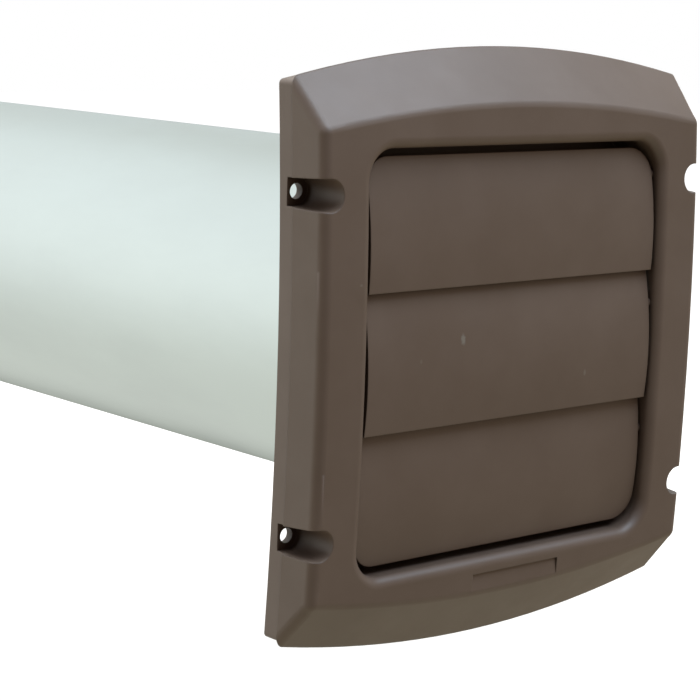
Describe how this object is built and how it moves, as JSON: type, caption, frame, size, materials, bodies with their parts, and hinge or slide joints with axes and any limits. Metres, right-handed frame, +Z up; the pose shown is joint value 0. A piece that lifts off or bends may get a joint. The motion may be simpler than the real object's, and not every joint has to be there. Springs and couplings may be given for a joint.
{
  "type": "dryer vent cap",
  "caption": "Wall-mounted dryer vent cap: a bowed plastic hood with gravity-closed swinging louvres on a straight aluminium duct.",
  "frame": {"origin": "where the duct's axis meets the wall plane at the back of the hood", "axes": "+Y along the duct into the wall, +Z up, +X to the right seen from outside; the louvres face -Y"},
  "size_m": [0.1494, 0.2999, 0.1677],
  "materials": {
    "hood_plastic": "satin",
    "louvre_plastic": "satin",
    "duct_metal": "satin"
  },
  "bodies": {
    "hood": {"hood_frame": "hood_plastic", "duct_pipe": "duct_metal"},
    "top_louvre": {"louvre_top": "louvre_plastic"},
    "middle_louvre": {"louvre_middle": "louvre_plastic"},
    "bottom_louvre": {"louvre_bottom": "louvre_plastic"}
  },
  "joints": [
    {"name": "top_louvre_swing", "type": "hinge", "parent": "hood", "child": "top_louvre", "pos_m": [0, -0.0143, 0.04565], "axis": [-1, 0, 0], "range_deg": [0, 80]},
    {"name": "middle_louvre_swing", "type": "hinge", "parent": "hood", "child": "middle_louvre", "pos_m": [0, -0.0159, 0.0076], "axis": [-1, 0, 0], "range_deg": [0, 80]},
    {"name": "bottom_louvre_swing", "type": "hinge", "parent": "hood", "child": "bottom_louvre", "pos_m": [0, -0.0146, -0.03045], "axis": [-1, 0, 0], "range_deg": [0, 80]}
  ]
}
